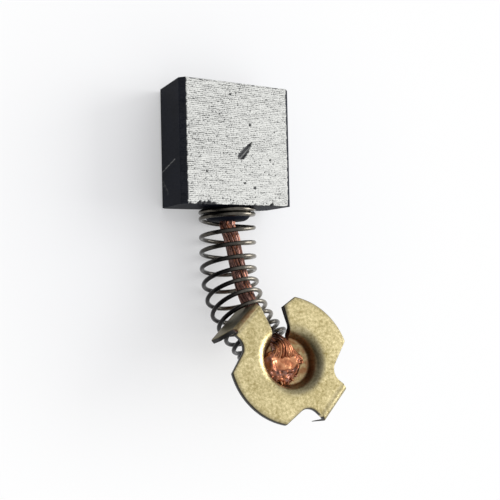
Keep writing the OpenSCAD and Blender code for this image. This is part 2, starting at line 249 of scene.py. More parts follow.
def gouged(x, y):
    """Depth of the gouge and how bright its torn streaks are. Its outline is a long drop: the half
    width at a share s of its length is the sine of pi s^0.62, made blunt. Its sides are steep."""
    turn = np.radians(GOUGE_TURN)
    along = (x - GOUGE_AT[0]) * np.cos(turn) + (y - GOUGE_AT[1]) * np.sin(turn)
    across = (y - GOUGE_AT[1]) * np.cos(turn) - (x - GOUGE_AT[0]) * np.sin(turn)
    share = np.clip((along / GOUGE_HALF + 1) / 2, 0, 1)
    wide = GOUGE_WIDE * np.sin(np.pi * share ** 0.62) ** 0.8 * (1 + 0.22 * wander(along, 0.16, 23))
    streaks = wander(across + 0.1 * along, 0.09, 21)
    inside = np.clip(1 - np.abs(across) / np.maximum(wide, 1e-3), 0, 0.35) / 0.35
    shallow = 0.75 + 0.35 * streaks - 0.5 * np.clip(share - 0.75, 0, 1)
    return GOUGE_DEEP * inside * shallow, (inside > 0) * np.clip(-streaks, 0, 1)


def ring_of(corners, steps):
    """Points round a closed outline: each side is divided evenly into steps of about its size."""
    sides = []
    for start, end, step in zip(corners, np.roll(corners, -1, axis=0), steps):
        count = max(1, round(np.linalg.norm(end - start) / step))
        sides.append(start + (end - start) * np.arange(count)[:, None] / count)
    return np.concatenate(sides)


def loft_faces(rows, columns):
    """Quads between rings of points, and a flat face across the first and the last ring."""
    i, j = np.meshgrid(np.arange(rows - 1) * columns, np.arange(columns), indexing="ij")
    after = (j + 1) % columns
    quads = np.stack([i + j, i + after, i + columns + after, i + columns + j], -1)
    ends = [np.arange(columns)[::-1], np.arange(columns) + (rows - 1) * columns]
    return [*quads.reshape(-1, 4).tolist(), *[end.tolist() for end in ends]]


def as_shell(rings):
    """Points and faces of a closed shell, from its rings of points."""
    return rings.reshape(-1, 3), loft_faces(*rings.shape[:2])


def volume_of(points, faces):
    """Six times the volume in a shell: each face is a fan of triangles, whose a . (b x c) is summed."""
    total = 0
    for corners in {len(face) for face in faces}:
        alike = points[np.array([face for face in faces if len(face) == corners])]
        fan = np.cross(alike[:, 1:-1], alike[:, 2:])
        total += np.einsum("ik,ijk->", alike[:, 0], fan)
    return total


def new_piece(name, shells, material, marks):
    """One object of closed shells, given as (points, faces), each turned so that it faces outwards.
    The marks are values at its points, by name, which its material reads."""
    points, faces = [], []
    for shell, shell_faces in shells:
        start = sum(len(p) for p in points)
        step = 1 if volume_of(shell, shell_faces) > 0 else -1
        faces.extend([[start + corner for corner in face[::step]] for face in shell_faces])
        points.append(shell)
    mesh = bpy.data.meshes.new(name)
    mesh.from_pydata(np.concatenate(points) * MM, [], faces)
    mesh.shade_smooth()
    mesh.set_sharp_from_angle(angle=np.radians(SHARP_ANGLE))
    for mark, values in marks.items():
        mesh.attributes.new(mark, "FLOAT", "POINT").data.foreach_set("value", values.astype(np.float32))
    mesh.materials.append(material)
    piece = bpy.data.objects.new(name, mesh)
    bpy.context.scene.collection.objects.link(piece)
    return piece


def in_millimetres(tree, scale=(1, 1, 1)):
    """Object coordinates in millimetres, stretched by a scale."""
    place = add(tree, "ShaderNodeTexCoord").outputs["Object"]
    return add(tree, "ShaderNodeVectorMath", {0: place, 1: [s / MM for s in scale]},
               operation="MULTIPLY").outputs["Vector"]


def new_material(name):
    """A new material, with its node tree and its shader."""
    made = bpy.data.materials.new(name)
    made.use_nodes = True
    return made, made.node_tree, made.node_tree.nodes["Principled BSDF"]


def noise(tree, scale, detail, roughness=0.5, stretch=(1, 1, 1)):
    """Random value that changes about this many times in a millimetre, times the stretch."""
    return add(tree, "ShaderNodeTexNoise", {
        "Vector": in_millimetres(tree, stretch), "Scale": scale, "Detail": detail,
        "Roughness": roughness}).outputs[0]


def ramp(tree, value, *stops):
    """Colour by a value: each stop is a position and its colour, with even changes between them."""
    node = add(tree, "ShaderNodeValToRGB", {"Fac": value})
    elements = node.color_ramp.elements
    for position, _ in stops[1:-1]:
        elements.new(position)
    for element, (position, colour) in zip(elements, stops):
        element.position = position
        element.color = linear(colour)
    return node.outputs[0]


def marked(tree, name):
    """Value of a mark that the points of a piece carry."""
    return add(tree, "ShaderNodeAttribute", attribute_name=name).outputs["Fac"]


def mixed(tree, share, first, second):
    """A mix of two colours: none of the second at a share of 0, all of it at 1."""
    return add(tree, "ShaderNodeMix", {0: share, 6: first, 7: second}, data_type="RGBA").outputs[2]


def bumped(tree, shader, height, strength, distance):
    """Unevenness of a surface, from a height of which 1 stands for this distance."""
    bump = add(tree, "ShaderNodeBump", {
        "Height": height, "Strength": strength, "Distance": distance * MM})
    tree.links.new(bump.outputs[0], shader.inputs["Normal"])


def baked_carbon():
    """Electrographite: matt near-black as moulded, silvery with fine dark lines where it was ground.
    The ground faces are painted paler than carbon is, a painted sheen for the lamp's glare, and the
    sides darker than it is, as painted shade. The wheel's lines are 0.21 mm apart, about twice as
    coarse as they are, so that they show."""
    made, tree, shader = new_material("baked_carbon")
    lines = add(tree, "ShaderNodeTexWave", {
        "Vector": in_millimetres(tree), "Scale": WAVE_PERIOD / GRIND_PITCH, "Distortion": 1.3,
        "Detail": 3.0, "Detail Scale": 0.9, "Detail Roughness": 0.6}, bands_direction="Y").outputs[1]
    dashes = noise(tree, 1.0, 3.0, 0.7, stretch=(1, 5.2, 1))
    weave = noise(tree, 1.0, 2.0, 0.7, stretch=(5.5, 7.5, 6))
    to_corner = add(tree, "ShaderNodeVectorMath", {
        0: in_millimetres(tree), 1: LINES_GROW}, operation="DOT_PRODUCT").outputs["Value"]
    strength = in_range(tree, to_corner, 0.16, 0.31, span=(-0.2, 1.0))
    grain = maths(tree, "MULTIPLY_ADD", weave, 1.5, dashes)
    texture = maths(tree, "MULTIPLY_ADD", maths(tree, "SUBTRACT", lines, 1.0), strength, grain)
    # Painted sheen and shade: the silvery ramp is paler than carbon, for the lamp's glare, and the dark
    # ramp darker than carbon, as painted shade.
    silvery = ramp(tree, in_range(tree, texture, 0, 1, span=(0.78, 1.34)),
                   (0, "#434442"), (0.42, "#c9c9c4"), (1, "#f4f4ed"))
    dark = ramp(tree, noise(tree, 0.35, 4.0), (0, "#0a0c13"), (1, "#1c202d"))
    colour = mixed(tree, marked(tree, "ground_and_glare"), dark, silvery)
    tree.links.new(colour, shader.inputs["Base Color"])
    shader.inputs["Roughness"].default_value = 0.6
    shader.inputs["Specular IOR Level"].default_value = 0.07
    bumped(tree, shader, texture, 0.35, 0.03)
    return made


half_w, half_flat = BLOCK_W / 2, BLOCK_W / 2 - BEVEL
outline = np.array([
    (-half_flat, BLOCK_T), (half_flat, BLOCK_T), (half_w, BLOCK_T - BEVEL), (half_w, BEVEL),
    (half_flat, 0), (-half_flat, 0), (-half_w, BEVEL), (-half_w, BLOCK_T - BEVEL)])
section = ring_of(outline, [GRAIN, GRAIN, RIGHT_GRAIN, GRAIN, FOOT_GRAIN, GRAIN, LEFT_GRAIN, GRAIN])
stations = np.linspace(0, BLOCK_L, round(BLOCK_L / GRAIN) + 1)
shrink = np.concatenate([END_RINGS, np.ones_like(stations), END_RINGS[::-1]])
stations = np.concatenate([0 * END_RINGS, stations, 0 * END_RINGS + BLOCK_L])
body_x = section[:, 0] * shrink[:, None]
body_y = stations[:, None] + 0 * body_x
body_z = AXIS_Z + (section[:, 1] - AXIS_Z) * shrink[:, None]
flat_top, flat_foot = body_z > BLOCK_T - HAIR, body_z < HAIR
body_z = np.minimum(body_z, BLOCK_T - np.maximum(0, carved(body_x, body_y)))
body = np.stack([body_x, body_y, body_z], -1)
# Silvery where ground; on the flat faces this is also a painted sheen for the lamp's glare.
ground_and_glare = ((flat_top & (body_z > BLOCK_T - SILVERY_DEPTH)) | flat_foot).astype(float)
ground_and_glare = np.maximum(ground_and_glare, flat_top * (CUT_BRIGHT + TORN_BRIGHT * gouged(body_x, body_y)[1]))


def scored(y, z, path, bright):
    """How bright a scratch is: a line with soft edges along a path of points on the left side."""
    away = np.min([np.hypot(y - at_y, z - at_z) for at_y, at_z in path], axis=0)
    return bright * np.clip(1.5 - away / (SCRATCH_W / 2), 0, 1)


part = np.linspace(0, 1, SCRATCH_STEPS)[:, None]
scratch = np.array(SCRATCH[0]) * (1 - part) + np.array(SCRATCH[1]) * part
curl_turn = 2 * np.pi * CURL_TURNS * part
curl = np.array(CURL[0]) * (1 - part) + np.array(CURL[1]) * part + CURL_R * np.concatenate(
    [np.cos(curl_turn) * (1 - 0.4 * part), 0.6 * np.sin(curl_turn)], 1)
on_left = body_x < HAIR - half_w
left_yz = body_y[on_left], body_z[on_left]
ground_and_glare[on_left] = np.maximum(
    scored(*left_yz, scratch, SCRATCH_BRIGHT), scored(*left_yz, curl, CURL_BRIGHT))
# The upper bevel on the left side is painted a little lighter.
on_bevel = (body_x < -half_flat - HAIR) & (body_z > BLOCK_T - BEVEL + HAIR)
ground_and_glare = np.maximum(ground_and_glare, LEFT_BEVEL_LIFT * on_bevel)

rounding = np.radians(np.linspace(0, 90, 7))
seat_r = np.concatenate([[SEAT_R] * 2, SEAT_R - SEAT_ROUND * (1 - np.cos(rounding)), SEAT_RINGS])
seat_y = -np.concatenate([
    [-SEAT_ROOT, 0.0], SEAT_H - SEAT_ROUND * (1 - np.sin(rounding)), [SEAT_H] * len(SEAT_RINGS)])
round_seat = np.linspace(0, 2 * np.pi, 72, endpoint=False)
seat = np.stack([
    seat_r[:, None] * np.cos(round_seat), seat_y[:, None] + 0 * round_seat,
    AXIS_Z + seat_r[:, None] * np.sin(round_seat)], -1)

carbon = new_piece(
    "carbon_block_body", [as_shell(body), as_shell(seat)], baked_carbon(),
    marks={"ground_and_glare": np.concatenate([ground_and_glare.ravel(), np.zeros(seat[..., 0].size)])})
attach(carbon, "root")
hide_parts("carbon_block")

# ----------------------------------------
# Spring. Hard-drawn steel wire, dark from patenting, wound open with closed ends. It is
# pushed over the seat, and the terminal's ear levers its free end over to one side.
WIRE_D, WIRE_SIDES = 0.5, 16
COIL_R = 3.0  # to the middle of the wire
FIRST_TURN, LAST_TURN = -1, 10.48
FIRST_ANGLE = 29
TURN_STEPS = 60
CLOSED_PITCH, SEAT_GAP = 0.54, 0.05
STRAIGHT, BEND_R, BEND_LEAN = 6.3, 13.1, 40  # length before the bend, and the bend's radius and lean
# Pitch, rise and yaw of the coil: the turns at which they are given, and their values there.
PITCH = (0.2, 0.6, 1, 1.4, 5, LAST_TURN - 0.8, LAST_TURN - 0.4), (
    CLOSED_PITCH, 2.22, 2.22, 1.66, 1.66, 1.24, CLOSED_PITCH)
RISE = (0.25, 1, 3, 6, 8, LAST_TURN), (0, 1.5, 8.5, 31, 34, 26)
YAW = (3, 6, 8, LAST_TURN), (0, 4.5, 11, 20)
# Painted light and shade on the wire: how bright it is painted, by the cosine of the angle from its
# right side, towards the lamp: not at all at the first value, wholly where it is the second more. By
# the turn, the least brightness painted on the left side, and the share of all this on the last turns,
# which are painted darker as shade.
LIT_FROM, LIT_OVER = -0.55, 1.1
LEFT_LIT, LAST_LIT = ((0, 4), (0.45, 0.05)), ((7.5, 9), (1, 0.4))


def unit(v):
    """Vectors at length 1."""
    return v / np.linalg.norm(v, axis=-1, keepdims=True)


def centre_line(s):
    """Middle of the coil at a distance along it: straight, then an arc in a leaning plane."""
    bend = np.maximum(0, s - STRAIGHT) / BEND_R
    side = BEND_R * (1 - np.cos(bend))
    ahead = np.minimum(s, STRAIGHT) + BEND_R * np.sin(bend)
    lean = np.radians(BEND_LEAN)
    return np.stack([side * np.cos(lean), -ahead, AXIS_Z + side * np.sin(lean)], -1)


def coil_axes(turn):
    """Side and top directions of a turn, which leans back by its rise and is turned by its yaw."""
    rise, yaw = np.radians(np.interp(turn, *RISE)), np.radians(np.interp(turn, *YAW))
    side = np.stack([np.cos(yaw), np.sin(yaw), 0 * yaw], -1)
    top = np.stack([-np.sin(yaw) * np.sin(rise), np.cos(yaw) * np.sin(rise), np.cos(rise)], -1)
    return side, top


def around(turn, angle):
    """Unit vectors from the centre line at an angle in a turn's own plane."""
    side, top = coil_axes(turn)
    return np.cos(angle)[..., None] * side + np.sin(angle)[..., None] * top


def tube(path, outwards, radius, sides):
    """Rings of points round a path: circles square to it, each begun on its outward side."""
    ahead = unit(np.gradient(path, axis=0))
    side = unit(outwards - (outwards * ahead).sum(-1, keepdims=True) * ahead)
    up = np.cross(side, ahead)
    angle = 2 * np.pi * (np.arange(sides)[:, None] + 0.5) / sides
    ring = np.cos(angle) * side[:, None] + np.sin(angle) * up[:, None]
    return path[:, None] + np.broadcast_to(radius, len(path))[:, None, None] * ring


def as_metal(tree, shader, colour, roughness):
    """Makes a shader a metal, with a colour and a roughness."""
    tree.links.new(colour, shader.inputs["Base Color"])
    tree.links.new(roughness, shader.inputs["Roughness"])
    shader.inputs["Metallic"].default_value = 1.0


def spring_wire():
    """Drawn steel wire: a smooth, mottled metal under a thin dark scale. Each turn is painted bright on
    its right side, towards the lamp, and dark on its left, as painted light and shade."""
    made, tree, shader = new_material("patented_spring_wire")
    mottle = noise(tree, 3.0, 3.0)
    lit_colour = ramp(tree, mottle, (0, "#3a3733"), (1, "#a19a8c"))
    colour = mixed(tree, marked(tree, "painted_side_light"), linear("#1a1a1c"), lit_colour)
    as_metal(tree, shader, colour, in_range(tree, mottle, 0.14, 0.3))
    bumped(tree, shader, noise(tree, 9.0, 2.0), 0.2, 0.01)
    return made


turns = np.linspace(FIRST_TURN, LAST_TURN, round((LAST_TURN - FIRST_TURN) * TURN_STEPS) + 1)
middles = (turns[1:] + turns[:-1]) / 2
climbed = np.cumsum(np.interp(middles, *PITCH) * np.diff(turns))
along = WIRE_D / 2 + SEAT_GAP + np.concatenate([[0], climbed])
wire_angle = 2 * np.pi * turns + np.radians(FIRST_ANGLE)
from_axis = around(turns, wire_angle)
wire = tube(centre_line(along) + COIL_R * from_axis, from_axis, WIRE_D / 2, WIRE_SIDES)
# Painted light and shade: bright on the right side of each turn, dark on the left and on the last turns.
painted_side_light = (np.cos(wire_angle) - LIT_FROM) / LIT_OVER
painted_side_light = np.clip(painted_side_light, np.interp(turns, *LEFT_LIT), 1) * np.interp(turns, *LAST_LIT)
spring = new_piece(
    "spring_wire_coil", [as_shell(wire)], spring_wire(),
    marks={"painted_side_light": np.repeat(painted_side_light, WIRE_SIDES)})
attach(spring, "root")
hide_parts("spring")
spring_l = along[-1]

# ----------------------------------------
# Shunt. A rope of fine bare copper wires, moulded into the carbon at one end. It runs
# through the spring, up the slot of the terminal, and is welded flat on the cup's floor.
SHUNT_D = 1.9
WELD_W, WELD_H, WELD_GAP = 4.3, 0.9, 0.03  # of the flat end, and its gap to the cup's floor
# The rope's wires are too fine to draw. Fewer and thicker strands stand for them, in bundles.
STRANDS, BUNDLES = 28, 7
STRAND_R = 0.12
BUNDLE_DEEP = 0.13  # how much deeper the strands between two bundles lie
LAY = 50  # length in which a strand goes once round
PAD_AT = (-0.01, 0.55)  # middle of the weld's flat pad, along the slot and across it
PAD_R = (0, 40, 68, 113, 158, 195, 228, 265, 288, 320, 360), (
    1.5, 1.9, 2.3, 2.3, 2.34, 2.1, 1.9, 2.3, 1.75, 1.5, 1.5)  # its radius by the direction from there
PAD_FOOT = (0.02, 0.5, 0.96, 1), (0.02, 0.02, 0.02, 0.09)  # its lowest rings: shares, heights
PAD_H, PAD_EDGE = 0.55, 0.1  # its height, and the height of its edge
PAD_LIP, PAD_NECK = 0.13, 0.25  # how much higher it is on the lip and at the rope
PAD_ROUGH, EDGE_ROUGH = (0.08, 0.03), (0.12, 0.09)  # coarse and fine unevenness, more outside
# The electrode's mark on the pad: its middle, its turn, its half sizes and how wide its edge is, as
# a share of them. It is bright, darker in its middle, on the lip round it and outside.
PRESSED_AT, PRESSED_TURN, PRESSED_R, PRESSED_EDGE = (-0.05, 0.49), 15, (0.95, 1.68), 0.35
PRESSED_TONE, PAD_DARKEST = 0.55, 0.22
SPOT_DARK, LIP_DARK, OUTSIDE_DARK = 0.2, 0.12, 0.4
HEAT_AT, HEAT_W, HEAT_TINT = (0.96, -0.6), 0.5, 0.8  # middle, width and strength of the blue tint
FRAYS = (  # direction in which a wire sticks out of the weld, its length and its rise
    (122, 0.55, 0.2), (136, 0.45, 0.1), (149, 0.8, 0.5), (160, 0.6, 0.3), (171, 0.7, 0.1),
    (186, 0.5, 0.3), (205, 0.55, 0.1), (258, 0.45, 0.2), (276, 0.4, 0.1), (95, 0.4, 0.1))
FRAY_ROOT, FRAY_H = 0.35, 0.32  # how far inside the pad it starts, and how high
FRAY_TONE, FRAY_RISE_TONE = 0.15, 0.9  # its tone, and how much lighter it is painted the higher it rises
ROUTE_STEPS = 12  # points on each piece of the route
# Where the rope starts to flatten, to be pressed down and to be painted lighter as painted light on
# the neck, in pieces of the route before its end, and how many pieces that takes.
FLATTENS, SINKS, LIGHTENS = (4.3, 1.7), (4.4, 1.6), (5.3, 1.6)
SUNK = 0.55  # share of its height that the rope loses where it is pressed down
WELD_FROM = 2.7  # it goes into the weld this many pieces before its end
TIP, TIP_THIN = 2, 0.06  # pieces over which its end narrows, and what stays, as a squared share
CORE_INSET, CORE_SIDES, CORE_TONE = 0.25, 24, 0.3  # of the plain core behind the strands
STRAND_SIDES = 8
# Tone of the strands, how much it varies between them and along each, and more of it near the weld,
# which is painted light on the neck.
STRAND_TONE, STRAND_VARIES, STRAND_MOTTLE, NECK_LIFT = 0.11, 0.13, 0.06, 0.3
SHEET_T = 0.5
CUP_DEEP = 1.5
SLOT_DIR = 149
PLATE_TURN = (-8.9, -17.9, -46.9)  # of the terminal, round x, then y, then z
PLATE_SHIFT = (2.69, -0.97)  # of its middle from the end of the spring's centre line
TILT_RISE, REST_GAP = 0.61, 0.1


def rotation(axis, degrees):
    """Matrix that turns a point round one of the three axes."""
    c, s = np.cos(np.radians(degrees)), np.sin(np.radians(degrees))
    i, j = (axis + 1) % 3, (axis + 2) % 3
    m = np.eye(3)
    m[i, i], m[i, j], m[j, i], m[j, j] = c, -s, s, c
    return m


PLATE_AXES = rotation(2, PLATE_TURN[2]) @ rotation(1, PLATE_TURN[1]) @ rotation(0, PLATE_TURN[0])
PLATE_UP = PLATE_AXES[:, 2]
plate_lift = COIL_R + WIRE_D / 2 + TILT_RISE + REST_GAP + SHEET_T
PLATE_CENTRE = centre_line(np.array(spring_l)) + PLATE_AXES @ (*PLATE_SHIFT, plate_lift)
weld_z = -CUP_DEEP + WELD_GAP + WELD_H / 2
shunt_room = COIL_R - WIRE_D / 2 - SHUNT_D / 2 - REST_GAP


def on_plate(points):
    """From the terminal's own frame, with its origin in the middle of the plate's face."""
    return PLATE_CENTRE + points @ PLATE_AXES.T


def in_slot(r, across, z):
    """Points by their distances from the plate's middle along the slot and across it, and by their
    heights over its face."""
    return on_plate(np.stack([r, across, z], -1) @ rotation(2, SLOT_DIR).T)


def in_spring(s, turn, share, degrees):
    """A point beside the spring's centre line, at a share of the room that the rope has."""
    towards = around(np.array(turn), np.array(np.radians(degrees)))
    return centre_line(np.array(s)) + shunt_room * share * towards


# From inside the block through its seat and the spring, up the slot and onto the cup's floor.
ROUTE = np.array([
    (0, 6, AXIS_Z),
    (0, 0, AXIS_Z),
    (0, -SEAT_H, AXIS_Z),
    (0, -SEAT_H - 0.6, AXIS_Z),
    in_spring(3.5, 1.5, 0.27, 30),
    in_spring(5, 2.5, 0.45, 30),
    in_spring(7, 3.8, 0.64, 30),
    in_spring(9.2, 5, 0.76, 30),
    in_spring(11.4, 6.5, 0.84, 35),
    in_spring(13.4, 8.2, 0.88, 50),
    in_spring(15.2, 9.6, 0.74, 50),
    in_slot(2.8, 0, weld_z - 1.72),
    in_slot(1.4, 0.1, weld_z + 0.15),
    in_slot(0.4, 0.3, weld_z + 0.15),
    in_slot(-0.6, 0.4, weld_z),
    in_slot(-1.5, 0.4, weld_z),
    in_slot(-2.3, 0.4, weld_z),
])


def smoothed(points, steps):
    """Catmull-Rom curve: cubic pieces through the points, each steered by the points beside it."""
    padded = np.concatenate([points[:1], points, points[-1:]])
    p0, p1, p2, p3 = (padded[k:len(padded) - 3 + k, None] for k in range(4))
    u = np.arange(steps)[:, None] / steps
    curve = 0.5 * (2 * p1 + (p2 - p0) * u + (2 * p0 - 5 * p1 + 4 * p2 - p3) * u ** 2
                   + (3 * p1 - p0 - 3 * p2 + p3) * u ** 3)
    return np.concatenate([curve.reshape(-1, 3), points[-1:]])


def copper():
    """Bare copper wire: a metal, browned by warm air, dark between the strands and bright where
    the weld has pressed it clean. Beside that it is tinted blue by the heat."""
    made, tree, shader = new_material("bare_copper")
    blotch = noise(tree, 2.4, 4.0, 0.65)
    shade = maths(tree, "MULTIPLY_ADD", blotch, 0.5, marked(tree, "tone"))
    colour = ramp(tree, shade, (0.1, "#3b2420"), (0.4, "#8a685e"), (0.5, "#9a6147"),
                  (0.62, "#b06f4e"), (0.85, "#d3966d"), (1, "#efc8a6"))
    tinted = mixed(tree, marked(tree, "heat"), colour, linear("#4d3d63"))
    as_metal(tree, shader, tinted, in_range(tree, blotch, 0.18, 0.42, span=(0.3, 0.7)))
    bumped(tree, shader, noise(tree, 7.0, 3.0), 0.4, 0.02)
    return made


rope = smoothed(ROUTE, ROUTE_STEPS)
last = len(rope) - 1
point = np.arange(len(rope))
ahead = unit(np.gradient(rope, axis=0))
side = unit(np.cross(ahead, PLATE_UP))
up = np.cross(side, ahead)


def begun(before_end, taken):
    """Share of a change along the rope that begins some pieces before its end and takes some."""
    return np.clip((point - last + before_end * ROUTE_STEPS) / (taken * ROUTE_STEPS), 0, 1)


flat, sink, lightened = eased(begun(*FLATTENS)), SUNK * eased(begun(*SINKS)), begun(*LIGHTENS)
to_tip = np.clip((last - point) / (TIP * ROUTE_STEPS), 0, 1)
tip = np.sqrt(np.maximum(TIP_THIN, 1 - (1 - to_tip) ** 2))
half_wide = (SHUNT_D + flat * (WELD_W - SHUNT_D)) / 2 * tip
half_high = (SHUNT_D + flat * (WELD_H - SHUNT_D)) / 2
run = np.concatenate([[0], np.cumsum(np.linalg.norm(np.diff(rope, axis=0), axis=1))])


def inside_rope(angle, inset):
    """Path at an angle in the rope's section, an ellipse, at a distance inside its surface. It is
    pressed down towards the cup's floor where the rope sinks."""
    path = (rope + ((half_wide - inset) * np.cos(angle))[:, None] * side
            + ((half_high - inset) * np.sin(angle))[:, None] * up)
    height = (path - PLATE_CENTRE) @ PLATE_UP + CUP_DEEP
    return path - (np.maximum(height, 0) * sink)[:, None] * PLATE_UP


def heated(points):
    """Blue tint of the heat, by the distance of points from its middle beside the weld."""
    local = (points - PLATE_CENTRE) @ PLATE_AXES @ rotation(2, SLOT_DIR)
    away = np.hypot(local[..., 0] - HEAT_AT[0], local[..., 1] - HEAT_AT[1])
    return HEAT_TINT * np.clip(1.2 - away / HEAT_W, 0, 1)


def lumps(x, y, step, seed):
    """Uneven surface, mostly between -1 and 1: half the sum of four smooth random curves, run
    across each other in four directions."""
    waves = [wander(x * c + y * d + 300, step, seed + k)
             for k, (c, d) in enumerate(((1, 0), (0, 1), (0.7, 0.7), (0.7, -0.7)))]
    return np.sum(waves, 0) / 2


copper_shells, tones, heats = [], [], []


def add_copper(rings, tone, heat):
    """Adds a closed shell to the rope, with the tone and the heat of its points."""
    copper_shells.append(as_shell(rings))
    tones.append(np.broadcast_to(tone, rings.shape[:2]).ravel())
    heats.append(np.broadcast_to(heat, rings.shape[:2]).ravel())


enter = last - WELD_FROM * ROUTE_STEPS
core_angles = 2 * np.pi * np.arange(CORE_SIDES) / CORE_SIDES
core = np.stack([inside_rope(at + 0 * run, CORE_INSET) for at in core_angles], 1)[:int(enter) + 6]
add_copper(core, CORE_TONE, 0)
for strand in range(STRANDS):
    extra, size, shade = (wander(np.array(strand * 1.0), 1.0, seed) for seed in (35, 33, 34))
    sway = 0.1 * wander(run + 40 * strand, 1.6, 31)
    angle = 2 * np.pi * (strand / STRANDS + run / LAY) + sway
    between = (1 - np.cos(2 * np.pi * BUNDLES * strand / STRANDS)) / 2 * (1 - 0.7 * flat)
    inset = STRAND_R + 0.02 + BUNDLE_DEEP * between + 0.02 * wander(run + 60 * strand, 1.1, 32)
    path = inside_rope(angle, inset)
    end = int(enter + 6 * extra) + 5
    strand_r = STRAND_R * (1 + 0.12 * size) * (1 + 0.8 * flat)
    rings = tube(path, path - rope, strand_r, STRAND_SIDES)[:end]
    mottle = wander(run + 50 * strand, 0.4, 36)
    # Painted light: the strands are lighter towards the weld, where the neck lies in shade.
    tone = STRAND_TONE + STRAND_VARIES * shade + STRAND_MOTTLE * mottle + NECK_LIFT * lightened
    add_copper(rings, tone[:end, None], heated(rings))

around_pad = np.linspace(0, 2 * np.pi, 120, endpoint=False)
pad_share = np.concatenate([PAD_FOOT[0], np.linspace(0.99, 0.9, 5), np.linspace(0.88, 0.02, 34)])
pad_reach = pad_share[:, None] * np.interp(np.degrees(around_pad), *PAD_R)
pad_reach = pad_reach * (1 + 0.05 * wander(around_pad * 3, 0.7, 44) * pad_share[:, None])
pad_r = PAD_AT[0] + pad_reach * np.cos(around_pad)
pad_across = PAD_AT[1] + pad_reach * np.sin(around_pad)
beyond = np.stack([pad_r - PRESSED_AT[0], pad_across - PRESSED_AT[1], 0 * pad_r], -1)
pressed = beyond @ rotation(2, PRESSED_TURN).T
from_press = np.hypot(pressed[..., 0] / PRESSED_R[0], pressed[..., 1] / PRESSED_R[1])
from_press = from_press + 0.16 * lumps(pad_r, pad_across, 0.5, 45)
outside = np.clip((from_press - 0.8) / PRESSED_EDGE, 0, 1)
to_neck = np.clip((pad_r - 0.55) / 0.7, 0, 1)
lip = np.exp(-((from_press - 1.15) / 0.18) ** 2)
coarse, fine = lumps(pad_r, pad_across, 0.55, 51), lumps(pad_r, pad_across, 0.21, 61)
crown = (PAD_H + PAD_ROUGH[0] * coarse + PAD_ROUGH[1] * fine + PAD_LIP * lip + PAD_NECK * to_neck
         + outside * (0.05 + EDGE_ROUGH[0] * coarse + EDGE_ROUGH[1] * fine))
crown = crown * np.sqrt(np.clip(1 - pad_share ** 5, 0, 1))[:, None] + PAD_EDGE
crown[:len(PAD_FOOT[1])] = np.array(PAD_FOOT[1])[:, None]
pad = in_slot(pad_r, pad_across, crown - CUP_DEEP)
pad_tone = (PRESSED_TONE + 0.16 * coarse + 0.1 * fine - outside * (OUTSIDE_DARK - 0.2 * fine)
            - LIP_DARK * lip - SPOT_DARK * np.exp(-(from_press / 0.35) ** 2))
add_copper(pad, np.clip(pad_tone, PAD_DARKEST, 1), heated(pad))
for way, length, rise in FRAYS:
    part = np.linspace(0, 1, 12)
    way_r, way_across = np.cos(np.radians(way)), np.sin(np.radians(way))
    reach = np.interp(way, *PAD_R) - FRAY_ROOT + length * (part - 0.35 * part ** 3)
    bow = 0.15 * length * np.sin(3 * part + way)
    fray = in_slot(
        PAD_AT[0] + reach * way_r - bow * way_across, PAD_AT[1] + reach * way_across + bow * way_r,
        FRAY_H + rise * np.sin(2.6 * part) - CUP_DEEP)
    fray_r = STRAND_R * (1.15 - 0.4 * part)
    rings = tube(fray, np.broadcast_to(PLATE_UP, fray.shape), fray_r, STRAND_SIDES)
    add_copper(rings, FRAY_TONE + FRAY_RISE_TONE * rise, 0)
shunt = new_piece(
    "copper_rope", copper_shells, copper(),
    marks={"tone": np.concatenate(tones), "heat": np.concatenate(heats)})
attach(shunt, "root")
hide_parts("shunt")

# ----------------------------------------
# Terminal. Brass sheet 0.5 mm thick, blanked round with four notches, drawn to a cup in
# the middle and slotted for the shunt. Its two ears are bent down at right angles.
PLATE_R = 6.95
EAR_SPAN, EAR_W, EAR_L = 13.6, 4, 3.2
EAR_HOOK, EAR_DRAFT = 1.3, 0.3  # the ear in the spring is drawn out on one side, and in on the other
FREE_EAR_W, FREE_EAR_SHIFT = 4.5, 0.3
FREE_EAR_CUT, TEAR_ROOT = 1.9, 0.4  # how wide the piece torn from it was, and how soon it is full
EAR_BEND_R = 0.1
EAR_ANGLE_SPRING, EAR_ANGLE_FREE = 77, 95
NOTCH_R, NOTCH_LEAN = 1.4, 11
NOTCHES = (  # facing, distance from the middle line, shift and width of the ear between the two
    (1, 4.1, FREE_EAR_SHIFT, FREE_EAR_W),
    (-1, 4.35, 0.2, EAR_W + 0.4))
CUP_RIM_R, CUP_FLOOR_R = 3.95, 2.35
RIM_ROUND, FLOOR_ROUND = 1.1, 0.35
SLIVER_L, SLIVER_D, SLIVER_ROOT, SLIVER_STEPS = 2.4, 0.24, 0.1, 9  # what is left of that piece
SLOT_IN, SLOT_W, SLOT_FLARE = 0.7, SHUNT_D + 0.2, 0.5
ROLL = 0.15  # rounding that blanking leaves on the edges of the open face
# Width of the dark edges: tarnish and painted shade.
EDGE_DARK_W = 0.19
EAR_SHADE = 0.72  # share of painted shade on the outer side of the ear in the spring, a painted dark reflection, twice the other's
BEND_BROWN = 0.4  # how brown the bend of that ear is
BEND_ROWS, SHADE_ROWS, START_ROWS = 10, 3, 2  # rows of the bend, and rows over which its looks change
WALL_SHADE, WALL_SHADE_EVEN, WALL_SHADE_TURN = 0.7, 0.55, -137  # most painted shade on the cup's wall, its share all round, where it is most
WALL_SHADE_PAST, WALL_SHADE_FADE = 0.15, 0.5  # how far it goes past the wall, and the width of its edges
BROWNED, BROWN_FADE = 0.6, 0.9  # how brown the weld's heat has left the cup's floor, and its edge
PLATE_COLUMNS, PLATE_ROWS, PLATE_TRIES = 560, 8, 12
flat_half = EAR_SPAN / 2 - EAR_BEND_R - SHEET_T
EDGE_STEPS = ROLL * np.array([0, 0.06, 0.2, 0.4, 0.7, 1])


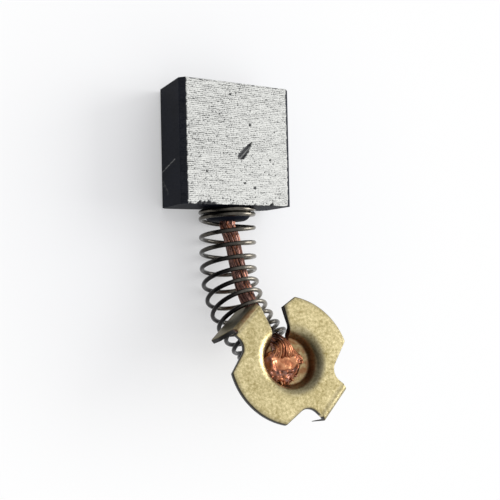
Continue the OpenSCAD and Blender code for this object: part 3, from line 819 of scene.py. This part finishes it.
def slab_faces(rows, columns):
    """Quads of a front grid, of a back grid behind it, and of the walls that join their borders."""
    index = np.arange(rows * columns).reshape(rows, columns)
    front = np.stack([index[:-1, :-1], index[:-1, 1:], index[1:, 1:], index[1:, :-1]], -1)
    front = front.reshape(-1, 4)
    border = np.concatenate([index[0, :-1], index[:-1, -1], index[-1, :0:-1], index[:0:-1, 0]])
    after = np.roll(border, -1)
    back = index.size
    walls = np.stack([after, border, border + back, after + back], -1)
    return [*front.tolist(), *(front[:, ::-1] + back).tolist(), *walls.tolist()]


def rolled(distance):
    """Drop of a rounded edge: a quarter circle, by the distance from the edge."""
    inward = ROLL - np.clip(distance, 0, ROLL)
    return ROLL - np.sqrt(ROLL ** 2 - inward ** 2)


def outline_r(theta):
    """Distance from the middle to the plate's outline: its circle, its bend lines, or a notch, which
    is met on its rounded corner, on its side along the ear or on its side that leans to the rim."""
    reach = np.minimum(PLATE_R, flat_half / np.maximum(1e-6, np.abs(np.cos(theta))))
    lean = np.radians(NOTCH_LEAN)
    outwards = np.array((np.cos(lean), np.sin(lean)))
    for facing, from_middle, shift, width in NOTCHES:
        for flip in (-1, 1):
            x, y = facing * np.cos(theta), flip * np.sin(theta)
            middle = np.array((from_middle + NOTCH_R, width / 2 + NOTCH_R - flip * shift))
            towards = middle[0] * x + middle[1] * y
            under = np.maximum(0, towards ** 2 - middle @ middle + NOTCH_R ** 2)
            arc = towards - np.sqrt(under)
            touch_y = middle[1] - NOTCH_R * np.sin(lean)
            on_arc = (under > 0) & (arc * x < middle[0]) & (arc * y < touch_y)
            beside_ear = (middle[1] - NOTCH_R) / np.maximum(y, 1e-6)
            on_ear_side = beside_ear * x >= middle[0]
            leaning = (middle @ outwards - NOTCH_R) / np.maximum(x * outwards[0] + y * outwards[1], 1e-6)
            on_lean = leaning * y >= touch_y
            for hit, valid in ((arc, on_arc), (beside_ear, on_ear_side), (leaning, on_lean)):
                reach = np.where((x > 0) & (y > 0) & valid, np.minimum(reach, hit), reach)
    return reach


def slot_half_angle(r):
    """Half the angle that the slot takes up at a distance: its round end, then its flaring sides."""
    half = SLOT_W / 2
    end = SLOT_IN + half
    cosine = (r ** 2 + end ** 2 - half ** 2) / np.maximum(2 * r * end, 1e-6)
    round_end = np.arccos(np.clip(cosine, -1, 1))
    flare = np.clip((r - CUP_RIM_R) / (PLATE_R + 1 - CUP_RIM_R), 0, 1) * SLOT_FLARE
    sides = np.arcsin(np.clip((half + flare) / np.maximum(r, half), -1, 1))
    return np.where(r < SLOT_IN, 0, np.where(r < np.hypot(end, half), round_end, sides))


wall_reach, wall_drop = CUP_RIM_R - CUP_FLOOR_R, CUP_DEEP - RIM_ROUND - FLOOR_ROUND
wall_angle = np.arctan2(wall_drop, wall_reach) + np.arcsin(
    (RIM_ROUND + FLOOR_ROUND) / np.hypot(wall_reach, wall_drop))


def cup_section(depth_in_sheet):
    """Distance and height of the cup's section: floor, corner arc, wall, rim arc. The depth in the
    sheet is added to the corner's radius and taken from the rim's."""
    sweep = np.linspace(0, wall_angle, 9)
    corner, rim = FLOOR_ROUND + depth_in_sheet, RIM_ROUND - depth_in_sheet
    floor = np.linspace(0.02, CUP_FLOOR_R, 14)[:-1]
    corner_r = CUP_FLOOR_R + corner * np.sin(sweep)
    corner_z = FLOOR_ROUND - CUP_DEEP - corner * np.cos(sweep)
    rim_r = CUP_RIM_R - rim * np.sin(sweep[::-1])
    rim_z = rim * np.cos(sweep[::-1]) - RIM_ROUND
    wall = np.linspace(0, 1, 5)[1:-1]
    wall_r = corner_r[-1] + (rim_r[0] - corner_r[-1]) * wall
    wall_z = corner_z[-1] + (rim_z[0] - corner_z[-1]) * wall
    return (np.concatenate([floor, corner_r, wall_r, rim_r]),
            np.concatenate([0 * floor - CUP_DEEP - depth_in_sheet, corner_z, wall_z, rim_z]))


def brass():
    """Rolled brass sheet: a satin metal, with an orange peel of about 0.3 mm from the rolls and the
    drawing. Tarnish and painted shade grey its cut edges; painted shade greys the cup's wall and the
    ears, most the ear in the spring, where it is a painted dark reflection. The weld's heat has
    browned the cup's floor in patches, and the bend of the ear in the spring is brown too."""
    made, tree, shader = new_material("rolled_brass")
    peel = noise(tree, 3.6, 3.0, 0.75)
    mottle = maths(tree, "MULTIPLY_ADD", noise(tree, 0.7, 2.0), 0.35, peel)
    clean = ramp(tree, mottle, (0.42, "#95854f"), (0.94, "#f0e1b0"))
    # The grey is tarnish and painted shade on the cut edges, painted shade on the cup's wall and ears.
    greyed = mixed(tree, marked(tree, "tarnish_and_shade"), clean, linear("#3b3a39"))
    patches = in_range(tree, noise(tree, 1.3, 2.0), 0.45, 1.35, span=(0.4, 0.6))
    brown = maths(tree, "MULTIPLY", marked(tree, "browned"), patches)
    colour = mixed(tree, brown, greyed, linear("#8b5333"))
    as_metal(tree, shader, colour, in_range(tree, mottle, 0.28, 0.42))
    bumped(tree, shader, peel, 0.6, 0.03)
    return made


def plate_grid(r_of, z_of):
    """The plate as a grid: rows go out from the middle, columns round from one side of the slot
    to the other. Returns its points and the distance of each from a free edge. The directions of
    the columns and the outline's distance there depend on each other, and are found by tries."""
    columns = np.linspace(0, 1, PLATE_COLUMNS)
    inner, rim = len(r_of), len(EDGE_STEPS)
    outer = np.linspace(0, 1, PLATE_ROWS + 1)[1:]
    theta = np.radians(SLOT_DIR) + 2 * np.pi * columns
    theta = np.broadcast_to(theta, (inner + PLATE_ROWS + rim - 1, PLATE_COLUMNS))
    for _ in range(PLATE_TRIES):
        reach = outline_r(theta[-1])
        start = reach - ROLL
        flat_r = CUP_RIM_R + outer[:, None] * (start - CUP_RIM_R)
        edge_r = reach - EDGE_STEPS[::-1][1:, None]
        cup_r = np.broadcast_to(r_of[:, None], (inner, PLATE_COLUMNS))
        r = np.concatenate([cup_r, flat_r, edge_r])
        half = slot_half_angle(r)
        free = 2 * np.pi - 2 * half
        near = EDGE_STEPS / np.maximum(r[:, :1], 0.3)
        evenly = near[:, -1:] + columns * (free - 2 * near[:, -1:])
        offset = np.concatenate([near, evenly[:, rim:-rim], free[:, :rim] - near[:, ::-1]], 1)
        theta = np.radians(SLOT_DIR) + half + offset
    z = np.concatenate([z_of[:, None] + 0 * cup_r, z_of[-1] + 0 * flat_r, z_of[-1] + 0 * edge_r])
    x, y = r * np.cos(theta), r * np.sin(theta)
    to_slot = np.where(r < SLOT_IN, ROLL, np.minimum(offset, free - offset) * r)
    at_ear = np.where(x > 0, np.abs(y + FREE_EAR_SHIFT) < FREE_EAR_W / 2, np.abs(y) < EAR_W / 2)
    to_outline = np.where(at_ear & (np.abs(x) > flat_half - 0.3), ROLL, reach - r)
    return np.stack([x, y, z], -1), np.minimum(to_slot, to_outline)


def ear_grids(angle, span_of, length):
    """Front and back of an ear: an arc from the plate's edge, then straight on, between two sides.
    Returns both grids and the distance of the front's points from a free edge."""
    bend = np.radians(np.linspace(0, angle, BEND_ROWS))
    straight = np.concatenate([np.linspace(0, length - ROLL, 14)[1:], length - EDGE_STEPS[::-1][1:]])
    run = np.concatenate([0 * bend, straight])
    at = np.concatenate([bend, 0 * straight + bend[-1]])
    low_y, high_y = span_of(run)
    across = np.linspace(0, 1, 22)[1:-1]
    left, right = low_y[:, None] + EDGE_STEPS, high_y[:, None] - EDGE_STEPS[::-1]
    inside = left[:, -1:] + across * (right[:, :1] - left[:, -1:])
    y = np.concatenate([left, inside, right], 1)
    edge = np.minimum(np.minimum(y - low_y[:, None], high_y[:, None] - y), (length - run)[:, None])
    grids = []
    for radius in (EAR_BEND_R + SHEET_T, EAR_BEND_R):
        drop = rolled(edge) if radius > EAR_BEND_R else 0 * edge
        x = flat_half + ((radius - drop.T) * np.sin(at) + run * np.cos(at)).T
        z = -SHEET_T - EAR_BEND_R + ((radius - drop.T) * np.cos(at) - run * np.sin(at)).T
        grids.append(np.stack([x, y, z], -1))
    return grids[0], grids[1], edge


def hooked(run):
    """Sides of the ear in the spring: one drawn in, the other drawn out to a hook."""
    return (np.interp(run, (0, EAR_DRAFT), (-EAR_W / 2, EAR_DRAFT - EAR_W / 2)),
            EAR_W / 2 + np.interp(run, EAR_L * np.array((0, 0.2, 0.6, 0.953, 1)),
                                  EAR_HOOK * np.array((0, 0.2, 0.8, 1, 0.8))))


def torn(run):
    """Sides of the free ear: one straight, the other cut in past the bend."""
    half = FREE_EAR_W / 2
    return (np.interp(run, (0, 1e-6, TEAR_ROOT), (-half, SLIVER_D - half, FREE_EAR_CUT - half)),
            half + 0 * run)


front_r, front_z = cup_section(0)
back_r, back_z = cup_section(SHEET_T)
front, edge = plate_grid(front_r, front_z)
back, back_edge = plate_grid(back_r, back_z)
flat_rows = len(front) - len(front_r)
normal_r = np.concatenate([(front_r - back_r) / SHEET_T, np.zeros(flat_rows)])[:, None]
normal_z = np.concatenate([(front_z - back_z) / SHEET_T, np.ones(flat_rows)])[:, None]
theta = np.arctan2(front[..., 1], front[..., 0])
normal = np.stack([normal_r * np.cos(theta), normal_r * np.sin(theta), normal_z + 0 * theta], -1)
front = front - rolled(edge)[..., None] * normal

brass_shells = [(np.concatenate([front.reshape(-1, 3), back.reshape(-1, 3)]), slab_faces(*edge.shape))]


def edge_tarnish_and_shade(distance):
    """Tarnish and painted shade by the distance from a cut edge: full on the cut, gone past its
    rounding.
    """
    return np.clip(1.1 - distance / EDGE_DARK_W, 0, 1).ravel()


def painted_wall_shade(r, theta):
    """Painted shade on the cup's wall: all round, most on the side off the slot."""
    on_wall = np.minimum(r - CUP_FLOOR_R, CUP_RIM_R - r) + WALL_SHADE_PAST
    facing = np.cos(theta - np.radians(SLOT_DIR + WALL_SHADE_TURN))
    return WALL_SHADE * np.clip(on_wall / WALL_SHADE_FADE, 0, 1) * (WALL_SHADE_EVEN + (1 - WALL_SHADE_EVEN) * facing)


radius = np.hypot(front[..., 0], front[..., 1])
# Tarnish and painted shade on the cut edges, painted shade on the cup's wall.
tarnish_and_shade = [np.maximum(edge_tarnish_and_shade(edge), painted_wall_shade(radius, theta).ravel()), edge_tarnish_and_shade(back_edge)]
browned = [BROWNED * np.clip(1 - (radius - CUP_FLOOR_R) / BROWN_FADE, 0, 1).ravel(),
           np.zeros(edge.size)]
for ear_angle, span_of, facing, shift in (
        (EAR_ANGLE_FREE, torn, 1, FREE_EAR_SHIFT), (EAR_ANGLE_SPRING, hooked, -1, 0)):
    ear_front, ear_back, ear_edge = ear_grids(ear_angle, span_of, EAR_L)
    points = np.concatenate([ear_front.reshape(-1, 3), ear_back.reshape(-1, 3)])
    brass_shells.append((points * (facing, facing, 1) - (0, shift, 0), slab_faces(*ear_edge.shape)))
    # Painted shade on the ears: half on the free ear, to damp the lamp's highlight in its bend, and most
    # on the outer side of the ear in the spring, as a painted dark reflection.
    ear_shade = np.full(ear_edge.shape, EAR_SHADE / 2)
    brown = np.zeros(ear_edge.shape)
    if facing < 0:
        row = np.arange(len(ear_edge))[:, None]
        past_bend = np.clip((row - BEND_ROWS + SHADE_ROWS) / SHADE_ROWS, 0, 1)
        off_plate = np.clip(row / START_ROWS, 0, 1)
        ear_shade[:] = EAR_SHADE * off_plate * (0.6 + 0.4 * past_bend)
        brown[:] = BEND_BROWN * off_plate * (1 - past_bend)
    tarnish_and_shade += [np.maximum(ear_shade.ravel(), edge_tarnish_and_shade(ear_edge)), edge_tarnish_and_shade(ear_edge)]
    browned += [brown.ravel(), np.zeros(ear_edge.size)]
sliver_angle = np.radians(EAR_ANGLE_FREE)
sliver_run = np.linspace(-SLIVER_ROOT, SLIVER_L, SLIVER_STEPS)
sliver_bend_r = EAR_BEND_R + SHEET_T - SLIVER_D / 2
sliver_x = flat_half + sliver_bend_r * np.sin(sliver_angle) + sliver_run * np.cos(sliver_angle)
sliver_y = SLIVER_D / 2 - FREE_EAR_W / 2 - FREE_EAR_SHIFT + 0 * sliver_x
sliver_z = (-SHEET_T - EAR_BEND_R + sliver_bend_r * np.cos(sliver_angle)
            - sliver_run * np.sin(sliver_angle))
sliver_path = np.stack([sliver_x, sliver_y, sliver_z], -1)
brass_shells.append(as_shell(tube(
    sliver_path, np.tile((0, 1.0, 0), (SLIVER_STEPS, 1)),
    np.linspace(SLIVER_D / 2, SLIVER_D / 6, SLIVER_STEPS), 10)))
# The sliver is painted dark all over: tarnish and painted shade.
tarnish_and_shade.append(np.ones(len(brass_shells[-1][0])))
browned.append(np.zeros(len(brass_shells[-1][0])))
brass_shells = [(on_plate(points), faces) for points, faces in brass_shells]
terminal = new_piece(
    "brass_terminal", brass_shells, brass(),
    marks={"tarnish_and_shade": np.concatenate(tarnish_and_shade), "browned": np.concatenate(browned)})
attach(terminal, "root")
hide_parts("terminal")
